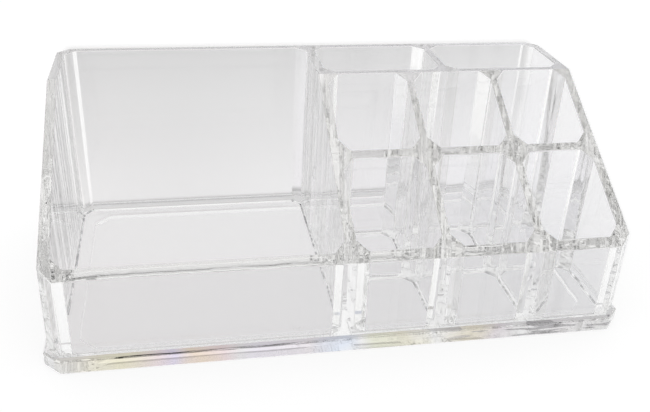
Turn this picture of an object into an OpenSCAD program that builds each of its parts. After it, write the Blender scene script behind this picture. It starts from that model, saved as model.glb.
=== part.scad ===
/* [Overall] */
// Width of the walled body at its foot, left to right
body_w = 224.6; // [190:0.2:320]
// Depth of the walled body at its foot, front to back
body_d = 117.4; // [105:0.2:170]
// Height from the table to the flat top at the back
total_h = 83.6; // [70:0.2:130]
// Height from the table to the top of the front wall
front_h = 38; // [30:0.5:60]
// Size of the 45 degree cut on the body's upright corners
corner_cut = 5.3; // [3:0.1:6]
// Lean of every wall face in degrees, which makes the walls thicker at the foot
draft = 0.5; // [0:0.1:1]

/* [Foot] */
// Height of the foot that runs round the base plate
foot_h = 5.6; // [5:0.1:9]
// How far the foot stands out past the end walls
foot_side = 1.6; // [1:0.1:4]
// How far the foot stands out past the front and back walls
foot_front = 2.4; // [1:0.1:4]
// Bevel along the foot's upper edge
foot_bevel = 0.6; // [0.2:0.1:0.9]
// Height of the compartment floors above the table
floor_h = 4.2; // [3.2:0.1:4.6]
// Depth of the shallow hollow under the base plate
hollow_h = 1.6; // [0.5:0.1:1.8]
// Width of the rim that the base plate rests on
rim_w = 12; // [6:0.5:16]

/* [Walls] */
// Thickness of the two end walls at the flat top
end_t = 3.5; // [2.5:0.1:5]
// Thickness of the back wall at the flat top
back_t = 3.5; // [2.5:0.1:5]
// Thickness of the front wall at its sloped top
front_t = 4.4; // [3:0.1:6]
// Thickness of the partition between the tray and the bins
partition_t = 3.8; // [2.5:0.1:5]
// Thickness of the two cross walls, at the height of the flat top
cross_t = 3.2; // [2:0.1:4.5]
// Thickness of the dividers between bins, at the height of the flat top
divider_t = 3; // [2:0.1:4.5]
// Leg of the 45 degree rib that fills each inside corner
rib = 4.5; // [2:0.1:6]

/* [Compartments] */
// Clear width of the tray, at the height of the flat top
tray_w = 106.2; // [80:0.2:130]
// Depth of the flat top, from the body's back face at the foot to where the slope starts
flat_d = 40; // [30:0.2:50]
// Clear depth of the middle row of bins, at the height of the flat top
middle_d = 34; // [26:0.2:40]

/* [Hidden] */

// Overrun for every cut
over = 1;
clear = [0.88, 0.9, 0.92, 0.4];

// The bins take what width is left. The right-hand ones are a little narrower, so the
// centres of both divider lines are at these shares of it, from the partition.
column_shares = [0.335, 0.688];
// The bevel round each floor takes this share of the well's depth in the base plate
bevel_share = 0.6;

// Sideways shift of a leaning face for each unit of height
lean = tan(draft);
floor_bevel = bevel_share * (foot_h - floor_h);
// This cut keeps the foot equally proud on the diagonal corners
foot_cut = corner_cut + (1 - 1 / sqrt(2)) * (foot_side + foot_front);
foot_size = [body_w + 2 * foot_side, body_d + 2 * foot_front];
// Long enough for any slab to pass right through the part
reach = 2 * (foot_size[0] + foot_size[1]);

// Inside faces of the outer walls, at the height of the flat top
top_lean = lean * (total_h - foot_h);
right_in = body_w / 2 - top_lean - end_t;
left_in = -right_in;
back_in = body_d / 2 - top_lean - back_t;
front_out = -body_d / 2 + lean * (front_h - foot_h);
front_in = front_out + front_t - lean * (total_h - front_h);

// Faces of the partition and the cross walls, at the height of the flat top
partition_l = left_in + tray_w;
partition_r = partition_l + partition_t;
slope_y = body_d / 2 - flat_d;
slope = (total_h - front_h) / (slope_y - front_out);
rear_cross = [slope_y, slope_y + cross_t];
front_cross = [slope_y - middle_d - cross_t, slope_y - middle_d];
back_run = [back_in, body_d];
front_run = [-body_d, front_in];

// Each divider's pair of faces, at the height of the flat top
bins_w = right_in - partition_r;
rear_line = faces((partition_r + right_in) / 2);
left_line = faces(partition_r + column_shares[0] * bins_w);
right_line = faces(partition_r + column_shares[1] * bins_w);
columns = [[partition_r, left_line[0]], [left_line[1], right_line[0]], [right_line[1], right_in]];

// Each compartment is a pair of left and right faces, then a pair of front and back faces
tray = [[left_in, partition_l], [front_in, back_in]];
rear_bins = [for (x = [[partition_r, rear_line[0]], [rear_line[1], right_in]])
    [x, [rear_cross[1], back_in]]];
middle_bins = [for (x = columns) [x, [front_cross[1], rear_cross[0]]]];
front_bins = [for (x = columns) [x, [front_in, front_cross[0]]]];
compartments = concat([tray], rear_bins, middle_bins, front_bins);

function faces(x) = [x - divider_t / 2, x + divider_t / 2];
function middle(pair) = (pair[0] + pair[1]) / 2;
function width(pair) = pair[1] - pair[0];

// A slab with two leaning faces. It is 2 * half thick at height ref, gets thinner upwards
// by s on each face for each unit of height, and has this bevel along its lower edges.
module leaning_slab(half, s, ref, low, high, length, bevel = 0) {
    foot = half - s * (low + bevel - ref);
    head = half - s * (high - ref);
    rotate([90, 0, 0])
        linear_extrude(length, center = true)
            polygon([[-foot + bevel, low], [foot - bevel, low], [foot, low + bevel],
                     [head, high], [-head, high], [-foot, low + bevel]]);
}

// The two diagonal slabs that cut the corners of a rectangle at 45 degrees
module diagonals(size, cut, s, ref, low, high, bevel = 0) {
    half = (size[0] + size[1] - 2 * cut) / 2 / sqrt(2);
    intersection() {
        rotate([0, 0, 45])
            leaning_slab(half, s, ref, low, high, reach, bevel);
        rotate([0, 0, -45])
            leaning_slab(half, s, ref, low, high, reach, bevel);
    }
}

// A block with eight leaning sides: a rectangle at height ref, its corners cut
module leaning_block(size, cut, s, ref, low, high, bevel = 0) {
    intersection() {
        leaning_slab(size[0] / 2, s, ref, low, high, reach, bevel);
        rotate([0, 0, 90])
            leaning_slab(size[1] / 2, s, ref, low, high, reach, bevel);
        diagonals(size, cut, s, ref, low, high, bevel);
    }
}

// The space inside one compartment: wider at the top, ribbed corners, bevelled floor
module core(c) {
    translate([middle(c[0]), middle(c[1]), 0])
        leaning_block([width(c[0]), width(c[1])], rib, -lean, total_h, floor_h, total_h + over,
            floor_bevel);
}

module cores(list) {
    for (c = list) {
        core(c);
    }
}

// The walls' outline: leaning sides and cut corners, a flat top, then one slope to the front
module outline() {
    intersection() {
        leaning_block([body_w, body_d], corner_cut, lean, foot_h, foot_h, total_h);
        rotate([90, 0, 90])
            linear_extrude(2 * body_w, center = true)
                polygon([[-body_d, -total_h], [body_d, -total_h], [body_d, total_h],
                         [slope_y, total_h], [-body_d, total_h - slope * (slope_y + body_d)]]);
    }
}

// The run of a wall that goes left to right, between a pair of leaning faces
module run(y) {
    translate([0, middle(y), 0])
        rotate([0, 0, 90])
            leaning_slab(width(y) / 2, lean, total_h, 0, total_h + over, reach);
}

// The room between two such walls
module room(y) {
    translate([0, middle(y), 0])
        rotate([0, 0, 90])
            leaning_slab(width(y) / 2, -lean, total_h, 0, total_h + over, reach);
}

// A cross wall stops at the partition and at the right end wall
module cross_wall(y) {
    intersection() {
        outline();
        run(y);
        translate([middle([partition_r, right_in]), 0, 0])
            leaning_slab(bins_w / 2, -lean, total_h, 0, total_h + over, reach);
    }
}

// A wall that goes front to back: x is its pair of faces and y is the room that it crosses
module lengthwise_wall(x, y) {
    intersection() {
        outline();
        room(y);
        translate([middle(x), 0, 0])
            leaning_slab(width(x) / 2, lean, total_h, 0, total_h + over, reach);
    }
}

// The ribs in the two corners of compartment c at wall x, rooted in the wall's middle
module ribs(c, x) {
    from = min(middle(c[0]), middle(x));
    to = max(middle(c[0]), middle(x));
    difference() {
        intersection() {
            outline();
            room(c[1]);
            translate([from, -body_d, 0])
                cube([to - from, 2 * body_d, total_h + over]);
        }
        translate([middle(c[0]), middle(c[1]), 0])
            diagonals([width(c[0]), width(c[1])], rib, -lean, total_h, 0, total_h + 2 * over);
    }
}

module ribbed_wall(x, y, beside) {
    color(clear)
        union() {
            lengthwise_wall(x, y);
            for (c = beside) {
                ribs(c, x);
            }
        }
}

// Foot, floors and the lands that every wall stands on
module base_plate() {
    rim = [2 * rim_w, 2 * rim_w];
    color(clear)
        difference() {
            translate([0, 0, foot_h])
                mirror([0, 0, 1])
                    leaning_block(foot_size, foot_cut, 0, 0, 0, foot_h, foot_bevel);
            cores(compartments);
            leaning_block(foot_size - rim, foot_cut, 0, 0, -over, hollow_h);
        }
}

module back_wall() {
    color(clear)
        intersection() {
            outline();
            run(back_run);
        }
}

module front_wall() {
    color(clear)
        intersection() {
            outline();
            run(front_run);
        }
}

module left_end_wall() {
    ribbed_wall([-body_w, left_in], tray[1], [tray]);
}

module right_end_wall() {
    ribbed_wall([right_in, body_w], tray[1], [rear_bins[1], middle_bins[2], front_bins[2]]);
}

module main_partition() {
    ribbed_wall([partition_l, partition_r], tray[1],
        [tray, rear_bins[0], middle_bins[0], front_bins[0]]);
}

module rear_cross_wall() {
    color(clear)
        cross_wall(rear_cross);
}

module front_cross_wall() {
    color(clear)
        cross_wall(front_cross);
}

module rear_divider() {
    ribbed_wall(rear_line, rear_bins[0][1], rear_bins);
}

module middle_left_divider() {
    ribbed_wall(left_line, middle_bins[0][1], [middle_bins[0], middle_bins[1]]);
}

module middle_right_divider() {
    ribbed_wall(right_line, middle_bins[0][1], [middle_bins[1], middle_bins[2]]);
}

module front_left_divider() {
    ribbed_wall(left_line, front_bins[0][1], [front_bins[0], front_bins[1]]);
}

module front_right_divider() {
    ribbed_wall(right_line, front_bins[0][1], [front_bins[1], front_bins[2]]);
}

base_plate();
back_wall();
front_wall();
left_end_wall();
right_end_wall();
main_partition();
rear_cross_wall();
front_cross_wall();
rear_divider();
middle_left_divider();
middle_right_divider();
front_left_divider();
front_right_divider();
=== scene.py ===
import bpy
import math
import numpy as np
from mathutils import Matrix, geometry


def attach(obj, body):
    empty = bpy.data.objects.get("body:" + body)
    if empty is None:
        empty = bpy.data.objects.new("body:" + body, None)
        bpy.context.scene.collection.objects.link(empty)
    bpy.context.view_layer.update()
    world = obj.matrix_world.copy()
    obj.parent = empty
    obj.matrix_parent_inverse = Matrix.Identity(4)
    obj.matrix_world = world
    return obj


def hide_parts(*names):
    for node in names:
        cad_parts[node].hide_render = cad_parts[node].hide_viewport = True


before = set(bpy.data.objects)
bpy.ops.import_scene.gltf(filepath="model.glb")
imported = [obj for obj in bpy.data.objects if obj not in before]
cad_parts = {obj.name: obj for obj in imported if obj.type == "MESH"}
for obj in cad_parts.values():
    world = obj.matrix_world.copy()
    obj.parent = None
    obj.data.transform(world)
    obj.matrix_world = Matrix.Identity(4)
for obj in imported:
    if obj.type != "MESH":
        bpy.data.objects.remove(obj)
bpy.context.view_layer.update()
print("frame:", len(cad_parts), "nodes")

# Lengths are in metres. The walls make the body, and each of its faces leans by lean per unit of height.
body = {"width": 0.2246, "depth": 0.1174, "height": 0.0836, "frontHeight": 0.038,
        "cornerCut": 0.0053, "flatDepth": 0.040, "lean": math.tan(math.radians(0.5))}
# The foot stands out by side and front. Under it is a shallow hollow inside a rim.
foot = {"height": 0.0056, "side": 0.0016, "front": 0.0024, "bevel": 0.0006, "edgeRound": 0.00025,
        "hollow": 0.0016, "rimWidth": 0.012}
# Thicknesses at the height of the flat top, but the front wall's at its own, and the leg of a corner's rib
walls = {"end": 0.0035, "back": 0.0035, "front": 0.0044, "partition": 0.0038, "cross": 0.0032,
         "divider": 0.003, "rib": 0.0045}
# The rear divider, and the two divider lines of the smaller bins, lie at these shares of the bins' width
wells = {"trayWidth": 0.1062, "middleDepth": 0.034, "floor": 0.0042, "bevel": 0.00084,
         "rearShare": 0.5, "columnShares": (0.335, 0.688)}
# Radius and steps of each rounded edge. A sloping rim's height settles within a few rounds.
edges = {"rimRound": 0.00035, "rimSteps": 5, "rimRounds": 4, "cornerRound": 0.0005, "cornerSteps": 3,
         "filletSteps": 5, "samePoint": 1e-9}
# Panels part at shift inside the wall that carries them. far, above and below take a cutter clear of the
# moulding, and a face within near of a cutter's side, and parallel to it, is bonded.
bond = {"shift": 0.00002, "far": 0.2, "above": 0.02, "below": 0.01, "near": 2e-6, "parallel": 0.9999}

height, lean = body["height"], body["lean"]
topLean = lean * (height - foot["height"])
rightIn = body["width"] / 2 - topLean - walls["end"]
backIn = body["depth"] / 2 - topLean - walls["back"]
frontOut = -body["depth"] / 2 + lean * (body["frontHeight"] - foot["height"])
frontIn = frontOut + walls["front"] - lean * (height - body["frontHeight"])
partition = (wells["trayWidth"] - rightIn, wells["trayWidth"] - rightIn + walls["partition"])
creaseY = body["depth"] / 2 - body["flatDepth"]
slope = (height - body["frontHeight"]) / (creaseY - frontOut)
rearCross = (creaseY, creaseY + walls["cross"])
frontCross = (creaseY - wells["middleDepth"] - walls["cross"], creaseY - wells["middleDepth"])
binsWidth = rightIn - partition[1]


def dividerFaces(share):
    # left and right face: the middle, at this share of the bins' width, less and plus half the thickness
    middle = partition[1] + share * binsWidth
    return middle - walls["divider"] / 2, middle + walls["divider"] / 2


# Each compartment is a pair of left and right faces, then one of front and back faces
rearLine, leftLine, rightLine = [dividerFaces(share) for share in (wells["rearShare"], *wells["columnShares"])]
columns = [(partition[1], leftLine[0]), (leftLine[1], rightLine[0]), (rightLine[1], rightIn)]
rearY, middleY, frontY = (rearCross[1], backIn), (frontCross[1], rearCross[0]), (frontIn, frontCross[0])
compartments = ([((-rightIn, partition[0]), (frontIn, backIn)),
                 ((partition[1], rearLine[0]), rearY), ((rearLine[1], rightIn), rearY)]
                + [(x, middleY) for x in columns] + [(x, frontY) for x in columns])


def topHeight(y):
    # the flat top at the back, then one slope down to the front wall
    return height - slope * np.maximum(creaseY - y, 0)


def cornerLoop(x, y, cut, spread):
    # A rectangle with its corners cut at 45 degrees, anticlockwise, each corner rounded:
    # point = corner - r * mitre + r * normal(turn). Gives the points and the way each one
    # moves when the loop is offset by 1. spread is the offset of its last row, for the crease.
    corners = np.array([(x[1], y[0] + cut), (x[1], y[1] - cut), (x[1] - cut, y[1]), (x[0] + cut, y[1]),
                        (x[0], y[1] - cut), (x[0], y[0] + cut), (x[0] + cut, y[0]), (x[1] - cut, y[0])])
    turn = (np.arange(8)[:, None] + np.linspace(0, 1, edges["cornerSteps"] + 1)) * math.pi / 4
    normal = np.stack([np.cos(turn), np.sin(turn)], -1)
    mitre = (normal[:, :1] + normal[:, -1:]) / (1 + math.cos(math.pi / 4))
    normal, mitre = np.roll(normal, 1, 0), np.roll(mitre, 1, 0)
    points = (corners[:, None] + edges["cornerRound"] * (normal - mitre)).reshape(-1, 2)
    ways = np.broadcast_to(mitre, normal.shape).reshape(-1, 2)
    # a point is added wherever the last row crosses the crease of the top
    last = points + spread * ways
    after = np.roll(last, -1, 0)
    crossing = np.nonzero((last[:, 1] - creaseY) * (after[:, 1] - creaseY) < 0)[0]
    share = ((creaseY - last[crossing, 1]) / (after[crossing, 1] - last[crossing, 1]))[:, None]
    nextPoints, nextWays = np.roll(points, -1, 0)[crossing], np.roll(ways, -1, 0)[crossing]
    points = np.insert(points, crossing + 1, points[crossing] * (1 - share) + nextPoints * share, 0)
    ways = np.insert(ways, crossing + 1, ways[crossing] * (1 - share) + nextWays * share, 0)
    return points, ways, crossing + 1 + np.arange(len(crossing))


def level(points, ways, offset, z):
    # one row of a surface: the loop offset in plan, at one height
    return np.column_stack([points + offset * ways, np.full(len(points), z)])


def rimRows(points, ways, leanOffset, side):
    # The rounded rim: a quarter circle from the upright face to the top, whose height follows
    # the top: z = top(y) - r * (1 - sin a), and the face moves by side * r * (1 - cos a).
    rows = []
    for a in np.linspace(0, math.pi / 2, edges["rimSteps"] + 1):
        z = np.full(len(points), height)
        for again in range(edges["rimRounds"]):
            offset = leanOffset(z) + side * edges["rimRound"] * (1 - math.cos(a))
            place = points + offset[:, None] * ways
            z = topHeight(place[:, 1]) - edges["rimRound"] * (1 - math.sin(a))
        rows.append(np.column_stack([place, z]))
    return rows


def loft(rows, first, inward):
    # quads between the rows of a surface that goes round, numbered from first
    count, size = len(rows), len(rows[0])
    i, j = np.meshgrid(np.arange(count - 1), np.arange(size), indexing="ij")
    k = (j + 1) % size
    quads = first + np.stack([i * size + j, i * size + k, (i + 1) * size + k, (i + 1) * size + j], -1)
    quads = quads.reshape(-1, 4)
    return quads[:, ::-1] if inward else quads


def outerSurface():
    # From the hollow under the base plate, over the foot, up the leaning walls to the rounded rim:
    # each row is one loop, offset by its lean, and the last one is marked where it crosses the crease
    halfW, halfD = body["width"] / 2, body["depth"] / 2
    footW, footD = halfW + foot["side"], halfD + foot["front"]
    inW, inD = footW - foot["rimWidth"], footD - foot["rimWidth"]
    footCut = body["cornerCut"] + (1 - 1 / math.sqrt(2)) * (foot["side"] + foot["front"])
    spread = -topLean - edges["rimRound"]
    points, ways, marks = cornerLoop((-halfW, halfW), (-halfD, halfD), body["cornerCut"], spread)
    outline = cornerLoop((-footW, footW), (-footD, footD), footCut, 0)[:2]
    hollow = cornerLoop((-inW, inW), (-inD, inD), footCut, 0)[:2]
    rows = [level(*hollow, 0, foot["hollow"]), level(*hollow, 0, 0),
            level(*outline, -foot["edgeRound"], 0), level(*outline, 0, foot["edgeRound"]),
            level(*outline, 0, foot["height"] - foot["bevel"]),
            level(*outline, -foot["bevel"], foot["height"]),
            level(points, ways, 0, foot["height"])]
    rows += rimRows(points, ways, lambda z: -lean * (z - foot["height"]), -1)
    return rows, marks, False


def wellSurface(x, y):
    # A compartment: a hollow quarter circle round its floor, offset by -r * (1 - sin t) at the height
    # low - r * cos t, then the leaning walls up to the rounded rim
    points, ways, marks = cornerLoop(x, y, walls["rib"], edges["rimRound"])
    low = wells["floor"] + wells["bevel"]
    atBevel = -lean * (height - low)
    rows = []
    for t in np.linspace(0, math.pi / 2, edges["filletSteps"] + 1):
        offset = atBevel - wells["bevel"] * (1 - math.sin(t))
        rows.append(level(points, ways, offset, low - wells["bevel"] * math.cos(t)))
    rows += rimRows(points, ways, lambda z: -lean * (height - z), 1)
    return rows, marks, True


def withinLoop(points, loop):
    # a point is inside if a line from it to the right crosses the loop an odd number of times
    a, b = loop, np.roll(loop, -1, 0)
    x, y = points[:, :1], points[:, 1:]
    spans = (a[:, 1] > y) != (b[:, 1] > y)
    rise = np.where(a[:, 1] == b[:, 1], 1, b[:, 1] - a[:, 1])
    reach = a[:, 0] + (y - a[:, 1]) * (b[:, 0] - a[:, 0]) / rise
    return (spans & (reach > x)).sum(1) % 2 == 1


def wholeMoulding():
    # The outside and the nine wells as lofted surfaces, joined by a top cut out between their rims
    vertices, faces, rims, onCrease = [], [], [], []
    first = 0
    for rows, marks, inward in [outerSurface()] + [wellSurface(x, y) for x, y in compartments]:
        size = len(rows[0])
        rows[-1][marks, 1] = creaseY
        rows[-1][marks, 2] = height
        vertices += rows
        faces += loft(rows, first, inward).tolist()
        cap = list(range(first, first + size))
        faces.append(cap if inward else cap[::-1])
        rims.append(first + (len(rows) - 1) * size + np.arange(size))
        onCrease += list(rims[-1][marks])
        first += len(rows) * size
    vertices = np.concatenate(vertices)
    # the top: triangles between the rims, with the crease as an edge of theirs
    used = np.concatenate(rims)
    slot = {v: i for i, v in enumerate(used.tolist())}
    onCrease = sorted(onCrease, key=lambda v: vertices[v, 0])
    lines = [(slot[a], slot[b]) for r in rims for a, b in zip(r.tolist(), np.roll(r, -1).tolist())]
    lines += [(slot[a], slot[b]) for a, b in zip(onCrease[::2], onCrease[1::2])]
    found = geometry.delaunay_2d_cdt([tuple(p) for p in vertices[used, :2]], lines, [], 0, edges["samePoint"])
    back = np.array([used[origins[0]] for origins in found[3]])
    triangles = back[np.array(found[2])]
    middles = vertices[triangles, :2].mean(1)
    inside = [withinLoop(middles, vertices[r, :2]) for r in rims]
    faces += triangles[inside[0] & ~np.any(inside[1:], axis=0)].tolist()
    return vertices, faces


def meshObject(name, vertices, faces):
    # a mesh with its place in its points, and its object at the origin
    mesh = bpy.data.meshes.new(name)
    mesh.from_pydata(np.asarray(vertices).tolist(), [], faces)
    mesh.validate()
    piece = bpy.data.objects.new(name, mesh)
    bpy.context.scene.collection.objects.link(piece)
    return piece


def leaningCell(x, y, z):
    # A six-sided block. Each side is a place at the height of the top and its shift per unit
    # of depth below it. Gives the corners, bottom four first.
    corners = [(x[i][0] + x[i][1] * (height - h), y[j][0] + y[j][1] * (height - h), h)
               for h in z for i, j in ((0, 0), (1, 0), (1, 1), (0, 1))]
    sides = [(3, 2, 1, 0), (4, 5, 6, 7), (0, 1, 5, 4), (1, 2, 6, 5), (2, 3, 7, 6), (3, 0, 4, 7)]
    return np.array(corners), sides


shift, far = bond["shift"], bond["far"]
above = (foot["height"] + shift, height + bond["above"])


def roomSides(pair):
    # between two walls: the sides close in below, as the walls get thicker
    return (pair[0] + shift, lean), (pair[1] - shift, -lean)


def wallSides(pair):
    # the two faces of a wall, which part below
    return (pair[0] - shift, -lean), (pair[1] + shift, lean)


def upright(low, high):
    # two sides that don't lean
    return (low, 0), (high, 0)


def middleOf(pair):
    # halfway between a pair of faces
    return (pair[0] + pair[1]) / 2


def dividerCell(left, right, y):
    # from the middle of one bin to that of the next, in the room between two walls
    return leaningCell(upright(middleOf(left), middleOf(right)), roomSides(y), above)


# Each panel's block, then the blocks of the walls that cross it
wide = upright(-far, far)
between = roomSides((frontIn, backIn))
crossCells = [leaningCell(roomSides((partition[1], rightIn)), wallSides(y), above)
              for y in (rearCross, frontCross)]
trayMiddle, leftMiddle, rightMiddle = [middleOf(x) for x in (compartments[0][0], columns[0], columns[2])]
cells = {
    "base_plate": [leaningCell(wide, wide, (-bond["below"], above[0]))],
    "back_wall": [leaningCell(wide, ((backIn - shift, -lean), (far, 0)), above)],
    "front_wall": [leaningCell(wide, ((-far, 0), (frontIn + shift, lean)), above)],
    "rear_cross_wall": [crossCells[0]],
    "front_cross_wall": [crossCells[1]],
    "left_end_wall": [leaningCell(upright(-far, trayMiddle), between, above)],
    "main_partition": [leaningCell(upright(trayMiddle, leftMiddle), between, above), *crossCells],
    "right_end_wall": [leaningCell(upright(rightMiddle, far), between, above), *crossCells],
    "rear_divider": [dividerCell(compartments[1][0], compartments[2][0], rearY)],
    "middle_left_divider": [dividerCell(columns[0], columns[1], middleY)],
    "middle_right_divider": [dividerCell(columns[1], columns[2], middleY)],
    "front_left_divider": [dividerCell(columns[0], columns[1], frontY)],
    "front_right_divider": [dividerCell(columns[1], columns[2], frontY)],
}


def cutPanel(name, whole, blocks):
    # One panel is the moulding inside its own block, less the blocks of the walls that cross it
    piece = whole.copy()
    piece.data = whole.data.copy()
    piece.name = piece.data.name = name
    bpy.context.scene.collection.objects.link(piece)
    cutters = [meshObject("cutter", *block) for block in blocks]
    for n, cutter in enumerate(cutters):
        cut = piece.modifiers.new("cut", "BOOLEAN")
        cut.operation = "DIFFERENCE" if n else "INTERSECT"
        cut.solver = "MANIFOLD"
        cut.object = cutter
    finished = bpy.data.meshes.new_from_object(piece.evaluated_get(bpy.context.evaluated_depsgraph_get()))
    piece.modifiers.clear()
    piece.data = finished
    for cutter in cutters:
        bpy.data.objects.remove(cutter)
    return piece


def bondedFaces(piece, blocks):
    # Two panels are bonded at the faces that lie on a side of a block: (centre - corner) . side's normal
    # is nearly 0, and the face's normal is along it
    count = len(piece.data.polygons)
    centre, normal = np.empty(count * 3), np.empty(count * 3)
    piece.data.polygons.foreach_get("center", centre)
    piece.data.polygons.foreach_get("normal", normal)
    centre, normal = centre.reshape(-1, 3), normal.reshape(-1, 3)
    bonded = np.zeros(count, bool)
    for corners, sides in blocks:
        for side in sides:
            a, b, c = corners[list(side[:3])]
            across = np.cross(b - a, c - a)
            across /= np.linalg.norm(across)
            onSide = np.abs((centre - a) @ across) < bond["near"]
            bonded |= onSide & (np.abs(normal @ across) > bond["parallel"])
    return bonded


def newMaterial(name):
    # a material with no nodes yet, and its node tree
    material = bpy.data.materials.new(name)
    material.use_nodes = True
    material.node_tree.nodes.clear()
    return material, material.node_tree


def addNode(tree, kind, values=(), links=(), **settings):
    # values sets sockets, and links joins (socket, from node, its output)
    node = tree.nodes.new("ShaderNode" + kind)
    for key, value in settings.items():
        setattr(node, key, value)
    for key, value in dict(values).items():
        node.inputs[key].default_value = value
    for key, source, output in links:
        tree.links.new(source.outputs[output], node.inputs[key])
    return node


def sumOf(tree, operation, a, b, **settings):
    # one sum on two values, each a number or a node with its output
    values = {n: v for n, v in enumerate((a, b)) if not isinstance(v, tuple)}
    links = [(n, *v) for n, v in enumerate((a, b)) if isinstance(v, tuple)]
    return addNode(tree, "Math", values, links, operation=operation, **settings), 0


def sizeOf(tree, value):
    # the value without its sign
    return sumOf(tree, "ABSOLUTE", value, 0.0)


def mapped(tree, value, span, target=(0, 1)):
    # target[0] + (target[1] - target[0]) * (value - span[0]) / (span[1] - span[0]), kept within target
    limits = {"From Min": span[0], "From Max": span[1], "To Min": target[0], "To Max": target[1]}
    return addNode(tree, "MapRange", limits, [("Value", *value)]), 0


def blended(tree, share, first, second, blend="MIX"):
    # first * (1 - share) + second * share, where each colour is plain or a node's output. They go to
    # the colour Mix's sockets 6 and 7, and its result is output 2.
    links = [(0, *share)] if isinstance(share, tuple) else []
    values = {} if isinstance(share, tuple) else {0: share}
    for n, v in ((6, first), (7, second)):
        if hasattr(v[0], "outputs"):
            links.append((n, *v))
        else:
            values[n] = (*v, 1)
    return addNode(tree, "Mix", values, links, data_type="RGBA", blend_type=blend), 2


def fillRamp(ramp, stops):
    # one stop for each place and colour
    ramp.elements.remove(ramp.elements[0])
    for n, (place, colour) in enumerate(stops):
        stop = ramp.elements[0] if n == 0 else ramp.elements.new(place)
        stop.position, stop.color = place, (*colour, 1)


def objectPlace(tree):
    # the place on the object, in metres, as X, Y and Z
    return addNode(tree, "SeparateXYZ", (), [(0, addNode(tree, "TexCoord"), "Object")])


def facing(tree, axis):
    # how far the face itself, without its bump, looks along one axis: -1 to 1
    return addNode(tree, "SeparateXYZ", (), [(0, addNode(tree, "NewGeometry"), "True Normal")]), axis


def stretchedNoise(tree, scale, stretch):
    # smooth noise of place * stretch * scale: a small share of Z draws it out into upright lines
    place = addNode(tree, "TexCoord")
    drawn = addNode(tree, "VectorMath", {1: stretch}, [(0, place, "Object")], operation="MULTIPLY")
    return addNode(tree, "TexNoise", {"Scale": scale, "Detail": 0}, [("Vector", drawn, 0)]), 0


even = (1, 1, 1)
plastic = {
    "ior": 1.59, "clearness": 0.987, "roughness": 0.0,
    # draw lines from the mould on the faces that look up or down by less than drawTilt, and a slow wave
    "drawScale": 220, "drawStretch": (1, 1, 0.05), "drawDepth": 0.00006, "drawTilt": 0.3,
    "waveScale": 40, "waveDepth": 0.00005,
    # painted shade comes in streaks as the noise falls through streakSpan, and the ribs look across X and Y by
    # ribAcross
    "streakScale": 480, "streakStretch": (1, 1, 0.015), "streakSpan": (0.42, 0.58),
    "paintedRibShade": (0.96, 0.96, 0.955), "ribAcross": 0.42,
    # painted warm light: the top's slope is a little warmer
    "paintedSlopeWarmth": (0.995, 0.99, 0.98), "slopeUp": 0.5, "slopeFront": -0.3,
    # painted shade: darker streaks in the hollow round each floor, where it meets its walls: its faces look up
    # by hollowUp, give or take hollowRange, and left or right by more than hollowSide, and they end hollowEdge
    # below its top
    "paintedCreaseShade": (0.6, 0.6, 0.61), "hollowUp": 0.5, "hollowRange": 0.46, "hollowSide": 0.2,
    "hollowEdge": 0.00002,
}


def ribMask(tree):
    # 1 on the faces that stand at 45 degrees: the product of the normal's two level parts is 1/2 there
    product = sizeOf(tree, sumOf(tree, "MULTIPLY", facing(tree, "X"), facing(tree, "Y")))
    return sumOf(tree, "GREATER_THAN", product, plastic["ribAcross"])


def mouldedSurface(tree):
    # a slow wave everywhere, and draw lines from the mould on the upright faces
    upright = sumOf(tree, "LESS_THAN", sizeOf(tree, facing(tree, "Z")), plastic["drawTilt"])
    lines = stretchedNoise(tree, plastic["drawScale"], plastic["drawStretch"])
    heights = ((sumOf(tree, "MULTIPLY", lines, upright), plastic["drawDepth"]),
               (stretchedNoise(tree, plastic["waveScale"], even), plastic["waveDepth"]))
    normal = None
    for rise, depth in heights:
        links = [("Height", *rise)] + ([("Normal", normal, 0)] if normal else [])
        normal = addNode(tree, "Bump", {"Strength": 1, "Distance": depth}, links)
    return normal


def plasticColourAndPaintedLight(tree, withPaintedSheen):
    # Clear, but for painted shade in streaks: faint ones down the ribs, and dark ones in the
    # small hollow at the left and right of each compartment's floor. The top's slope gets painted warm light.
    clear = (plastic["clearness"],) * 3
    streaks = stretchedNoise(tree, plastic["streakScale"], plastic["streakStretch"])
    streaks = mapped(tree, streaks, plastic["streakSpan"])
    # painted shade: the ribs darken in streaks where they show the bright floor
    ribs = blended(tree, streaks, plastic["paintedRibShade"], clear)
    colour = blended(tree, ribMask(tree), clear, ribs)
    # painted warm light on the faces that look up and to the front
    onSlope = sumOf(tree, "MULTIPLY", sumOf(tree, "GREATER_THAN", facing(tree, "Z"), plastic["slopeUp"]),
                    sumOf(tree, "LESS_THAN", facing(tree, "Y"), plastic["slopeFront"]))
    colour = blended(tree, onSlope, colour, plastic["paintedSlopeWarmth"])
    # painted shade in the hollow where each floor meets its walls
    tilt = sizeOf(tree, sumOf(tree, "SUBTRACT", facing(tree, "Z"), plastic["hollowUp"]))
    hollowTop = wells["floor"] + wells["bevel"] - plastic["hollowEdge"]
    hollow = sumOf(tree, "MULTIPLY", sumOf(tree, "LESS_THAN", tilt, plastic["hollowRange"]),
                   sumOf(tree, "LESS_THAN", (objectPlace(tree), "Z"), hollowTop))
    sideways = sumOf(tree, "GREATER_THAN", sizeOf(tree, facing(tree, "X")), plastic["hollowSide"])
    hollow = sumOf(tree, "MULTIPLY", hollow, sideways)
    colour = blended(tree, hollow, colour, blended(tree, streaks, plastic["paintedCreaseShade"], clear))
    return paintedSheenAndShade(tree, colour) if withPaintedSheen else colour
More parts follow.
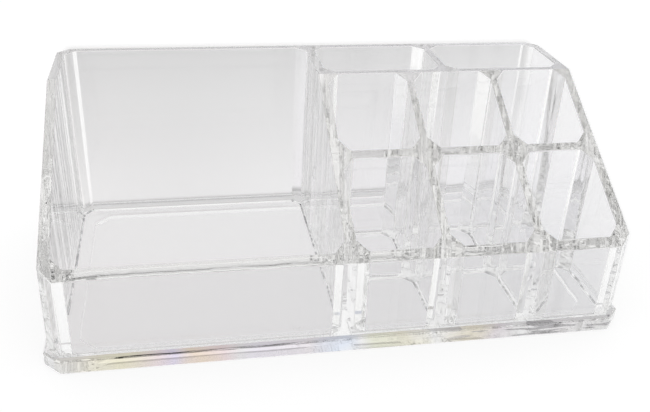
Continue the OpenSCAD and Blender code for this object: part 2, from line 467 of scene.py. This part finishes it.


# Painted iridescence, the colours that light makes in the moulding's real stress, faint along the front of the
# foot: place from left to right, colour
stress = {
    "colours": [(-0.112, (0.95, 0.95, 0.95)), (-0.098, (0.97, 0.94, 0.86)), (-0.086, (0.97, 0.93, 0.74)),
                (-0.075, (0.96, 0.85, 0.87)), (-0.067, (0.88, 0.83, 0.98)), (-0.060, (0.98, 0.85, 0.72)),
                (-0.050, (0.97, 0.84, 0.85)), (-0.043, (0.94, 0.93, 0.94)), (-0.034, (0.94, 0.91, 0.98)),
                (-0.016, (0.96, 0.92, 0.95)), (-0.003, (0.83, 0.88, 0.98)), (0.002, (1, 1, 1)),
                (0.010, (0.93, 0.94, 0.80)), (0.027, (0.97, 0.94, 0.80)), (0.034, (1, 1, 1)),
                (0.048, (0.92, 0.87, 0.74)), (0.060, (0.87, 0.82, 0.85)), (0.068, (0.95, 0.95, 0.95)),
                (0.082, (0.89, 0.87, 0.88)), (0.106, (0.91, 0.91, 0.91))],
    "wander": 0.014, "wanderScale": 90,
    # painted shade: dark streaks where flat noise is over streakLimit, coming in from left to right over
    # streakSpan
    "streakStretch": (90, 90, 1100), "streakLimit": 0.6, "streakSpan": (0.02, 0.06),
    "shadeStreakColour": (0.55, 0.54, 0.55),
}


def paintedSheenAndShade(tree, clear):
    # The painted iridescent colours run along the foot's front where light comes in, and wander by the noise
    # less its middle, 0.5. Painted dark streaks of shade lie among them towards the right.
    place = objectPlace(tree)
    wander = sumOf(tree, "SUBTRACT", stretchedNoise(tree, stress["wanderScale"], even), 0.5)
    along = sumOf(tree, "ADD", (place, "X"), sumOf(tree, "MULTIPLY", wander, stress["wander"]))
    low, high = stress["colours"][0][0], stress["colours"][-1][0]
    ramp = addNode(tree, "ValToRGB", (), [(0, *mapped(tree, along, (low, high)))])
    fillRamp(ramp.color_ramp, [((x - low) / (high - low), colour) for x, colour in stress["colours"]])
    streak = stretchedNoise(tree, 1, stress["streakStretch"])
    streak = sumOf(tree, "GREATER_THAN", streak, stress["streakLimit"])
    streak = sumOf(tree, "MULTIPLY", streak, mapped(tree, (place, "X"), stress["streakSpan"]))
    colour = blended(tree, streak, (ramp, 0), stress["shadeStreakColour"])
    front = sumOf(tree, "LESS_THAN", (place, "Y"), -body["depth"] / 2)
    entering = sumOf(tree, "SUBTRACT", 1.0, (addNode(tree, "NewGeometry"), "Backfacing"))
    return blended(tree, sumOf(tree, "MULTIPLY", front, entering), clear, colour)


# The share of the lamp's light that a face lets through, by where it is on the outer shell
shade = {
    # the back wall, from foot to top, brighter by backRight towards the right end of backSpan
    "backFoot": 0.78, "backTop": 0.26, "backRight": 1.35, "backSpan": (-0.06, 0.09),
    # it is times contact just above the foot, and over contactSpan that ends
    "contact": 0.45, "contactSpan": (0.0068, 0.0078),
    "under": 0.92, "front": 0.8, "end": 0.86, "foot": 0.5,
    # what counts as the outer skin of a wall, of the foot and of the underside
    "skin": 0.0022, "footSkin": 0.0001, "underSkin": 0.001,
    # tones at the left and right ends
    "left": (1, 0.988, 0.992), "right": (0.99, 0.99, 1),
}


def castShade(tree):
    # The outer shell casts the shadow: the right end, the back, the front, the foot and the underside.
    # The last test that holds sets the share, the walls inside cast none, and a faint tone goes from
    # left to right.
    place = objectPlace(tree)
    rise = mapped(tree, (place, "Z"), (0, height), (shade["backFoot"], shade["backTop"]))
    across = mapped(tree, (place, "X"), shade["backSpan"], (1, shade["backRight"]))
    back = sumOf(tree, "MULTIPLY", rise, across, use_clamp=True)
    contact = mapped(tree, (place, "Z"), shade["contactSpan"], (shade["contact"], 1))
    back = sumOf(tree, "MULTIPLY", back, contact)
    halfWide, halfDeep = body["width"] / 2, body["depth"] / 2
    total = None
    for test, axis, limit, share in (("GREATER_THAN", "X", halfWide - shade["skin"], shade["end"]),
                                     ("GREATER_THAN", "Y", halfDeep - shade["skin"], back),
                                     ("LESS_THAN", "Y", shade["skin"] - halfDeep, shade["front"]),
                                     ("LESS_THAN", "Y", -halfDeep - shade["footSkin"], shade["foot"]),
                                     ("LESS_THAN", "Z", foot["hollow"] + shade["underSkin"], shade["under"]),
                                     ("GREATER_THAN", "Y", halfDeep + shade["footSkin"], shade["contact"])):
        # sockets 2 and 3 of a plain Mix are its two values
        values, links = {2: 1.0}, [(0, *sumOf(tree, test, (place, axis), limit))]
        if total:
            links.append((2, *total))
        if isinstance(share, tuple):
            links.append((3, *share))
        else:
            values[3] = share
        total = addNode(tree, "Mix", values, links), 0
    toRight = mapped(tree, (place, "X"), (-halfWide, halfWide))
    tone = blended(tree, toRight, shade["left"], shade["right"])
    grey = addNode(tree, "CombineColor", (), [(n, *total) for n in range(3)]), 0
    return blended(tree, 1.0, grey, tone, "MULTIPLY")


def clearPlastic(name, withPaintedSheen):
    # glass for every ray but the lamp's, which the shell's own share lets through
    material, tree = newMaterial(name)
    glass = addNode(tree, "BsdfGlass", {"IOR": plastic["ior"], "Roughness": plastic["roughness"]},
                    [("Color", *plasticColourAndPaintedLight(tree, withPaintedSheen)), ("Normal", mouldedSurface(tree), 0)])
    letThrough = addNode(tree, "BsdfTransparent", (), [("Color", *castShade(tree))])
    path = addNode(tree, "LightPath")
    mix = addNode(tree, "MixShader", (), [(0, path, "Is Shadow Ray"), (1, glass, 0), (2, letThrough, 0)])
    addNode(tree, "OutputMaterial", (), [("Surface", mix, 0)])
    return material


def bondedPlastic():
    # where two panels meet there is no surface to see
    material, tree = newMaterial("bondedPlastic")
    clear = addNode(tree, "BsdfTransparent")
    addNode(tree, "OutputMaterial", (), [("Surface", clear, 0)])
    return material


whole = meshObject("wholeMoulding", *wholeMoulding())
print("moulding:", len(whole.data.vertices), "vertices,", len(whole.data.polygons), "faces")

wallMaterial = clearPlastic("wallPlastic", False)
footMaterial = clearPlastic("footPlastic", True)
bondMaterial = bondedPlastic()
replacedNodes = {
    "basePlate": "base_plate", "backWall": "back_wall", "frontWall": "front_wall",
    "leftEndWall": "left_end_wall", "rightEndWall": "right_end_wall", "mainPartition": "main_partition",
    "rearCrossWall": "rear_cross_wall", "frontCrossWall": "front_cross_wall", "rearDivider": "rear_divider",
    "middleLeftDivider": "middle_left_divider", "middleRightDivider": "middle_right_divider",
    "frontLeftDivider": "front_left_divider", "frontRightDivider": "front_right_divider",
}
for name, node in replacedNodes.items():
    piece = cutPanel(name, whole, cells[node])
    piece.data.materials.clear()
    piece.data.materials.append(footMaterial if name == "basePlate" else wallMaterial)
    piece.data.materials.append(bondMaterial)
    piece.data.polygons.foreach_set("material_index", bondedFaces(piece, cells[node]).astype(np.int32))
    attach(piece, "root")
    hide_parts(node)
bpy.data.objects.remove(whole)
print("panels:", len(replacedNodes))

# The camera that was fitted to the photograph: turns in radians, then the object's place before it
view = {"turnX": 0.502, "turnY": -0.200, "turnZ": 0.047, "place": (-0.001018, 0.026505, 0.363799),
        "focal": 805.234, "frameWidth": 650, "sensor": 36, "nearest": 0.01}


def turned(a, b, angle):
    # a turn in the plane of two axes: the cosine on the diagonal, and minus and plus the sine beside it
    m = np.eye(3)
    m[a, a] = m[b, b] = math.cos(angle)
    m[a, b], m[b, a] = -math.sin(angle), math.sin(angle)
    return m


# The rows of sight are the picture's right, down and forward, and the camera stands at -sight^T * place
sight = (turned(0, 1, view["turnZ"]) @ turned(1, 2, view["turnX"]) @ turned(2, 0, view["turnY"])
         @ np.array([(1, 0, 0), (0, 0, -1), (0, 1, 0)]))
stand = -sight.T @ np.array(view["place"])
cameraData = bpy.data.cameras.new("camera")
cameraData.sensor_width = view["sensor"]
cameraData.lens = view["focal"] / view["frameWidth"] * view["sensor"]
cameraData.clip_start = view["nearest"]
camera = bpy.data.objects.new("camera", cameraData)
placing = np.eye(4)
placing[:3, 0], placing[:3, 1], placing[:3, 2], placing[:3, 3] = sight[0], -sight[1], -sight[2], stand
camera.matrix_world = Matrix(placing.tolist())
bpy.context.scene.collection.objects.link(camera)
bpy.context.scene.camera = camera
print("camera at", [round(v, 4) for v in stand])

# The tent is a list of heights above the horizon, from 0 to 1 straight up, each with its tone
studio = {"floorSize": 8.0, "floorDrop": 0.00005, "floorColour": 0.9, "floorGlow": 0.34,
          "tent": [(0.0, 1.0), (0.12, 0.97), (0.29, 0.88), (0.3, 0.4), (0.335, 0.4), (0.345, 0.88),
                   (0.5, 0.93), (0.65, 1.0)],
          "plainLight": 0.22, "lampStrength": 0.555, "lampRadius": 0.006, "bounces": 96}


def seenRay(tree):
    # 1 for what the camera sees, straight, mirrored or through the plastic, and 0 for light on a surface
    path = addNode(tree, "LightPath")
    seen = sumOf(tree, "MAXIMUM", (path, "Is Camera Ray"), (path, "Is Glossy Ray"))
    return sumOf(tree, "MAXIMUM", seen, (path, "Is Transmission Ray"))


def paleFloor():
    # White, partly lit and partly glowing, so that it keeps the object's shadow
    half = studio["floorSize"] / 2
    floor = meshObject("floor", [(-half, -half, 0), (half, -half, 0), (half, half, 0), (-half, half, 0)],
                       [(0, 1, 2, 3)])
    floor.data.transform(Matrix.Translation((0, 0, -studio["floorDrop"])))
    material, tree = newMaterial("paleFloor")
    diffuse = addNode(tree, "BsdfDiffuse", {"Color": (studio["floorColour"],) * 3 + (1,)})
    strength = sumOf(tree, "MULTIPLY", seenRay(tree), studio["floorGlow"])
    glow = addNode(tree, "Emission", {"Color": (1, 1, 1, 1)}, [("Strength", *strength)])
    both = addNode(tree, "AddShader", (), [(0, diffuse, 0), (1, glow, 0)])
    addNode(tree, "OutputMaterial", (), [("Surface", both, 0)])
    floor.data.materials.append(material)


def studioWorld():
    # A white tent that gets a little greyer upwards, to the dark gap that gives the clear edges their
    # thin dark lines, and is white again at its top. The light that it sheds is plain.
    world = bpy.data.worlds.new("studio")
    world.use_nodes = True
    tree = world.node_tree
    tree.nodes.clear()
    parts = addNode(tree, "SeparateXYZ", (), [(0, addNode(tree, "TexCoord"), "Generated")])
    ramp = addNode(tree, "ValToRGB", (), [(0, parts, "Z")])
    fillRamp(ramp.color_ramp, [(z, (tone,) * 3) for z, tone in studio["tent"]])
    plain = addNode(tree, "Background", {"Color": (1, 1, 1, 1), "Strength": studio["plainLight"]})
    tent = addNode(tree, "Background", {"Strength": 1}, [("Color", ramp, 0)])
    mix = addNode(tree, "MixShader", (), [(0, *seenRay(tree)), (1, plain, 0), (2, tent, 0)])
    addNode(tree, "OutputWorld", (), [("Surface", mix, 0)])
    bpy.context.scene.world = world


def keyLamp():
    # One soft lamp at the camera, whose shadow falls behind the object. Its strength grows with distance,
    # so that the whole floor gets the same light: power * height / (4 * pi^2).
    data = bpy.data.lights.new("keyLamp", "POINT")
    data.shadow_soft_size = studio["lampRadius"]
    data.energy = 4 * math.pi * math.pi * studio["lampStrength"] / camera.location.z
    data.use_nodes = True
    tree = data.node_tree
    tree.nodes.clear()
    steady = addNode(tree, "LightFalloff", {"Strength": 1})
    strength = sumOf(tree, "MULTIPLY", (steady, "Constant"), (addNode(tree, "LightPath"), "Ray Length"))
    light = addNode(tree, "Emission", (), [("Strength", *strength)])
    addNode(tree, "OutputLight", (), [("Surface", light, 0)])
    lamp = bpy.data.objects.new("keyLamp", data)
    lamp.location = camera.location
    lamp.visible_camera = lamp.visible_glossy = lamp.visible_transmission = False
    bpy.context.scene.collection.objects.link(lamp)


paleFloor()
studioWorld()
keyLamp()
print("studio: floor, tent and lamp")

scene = bpy.context.scene
scene.view_settings.view_transform = "Standard"
scene.cycles.max_bounces = studio["bounces"]
scene.cycles.transmission_bounces = studio["bounces"]
scene.cycles.glossy_bounces = studio["bounces"]
scene.cycles.transparent_max_bounces = studio["bounces"]
scene.cycles.caustics_reflective = False
scene.cycles.caustics_refractive = False

print("finished")
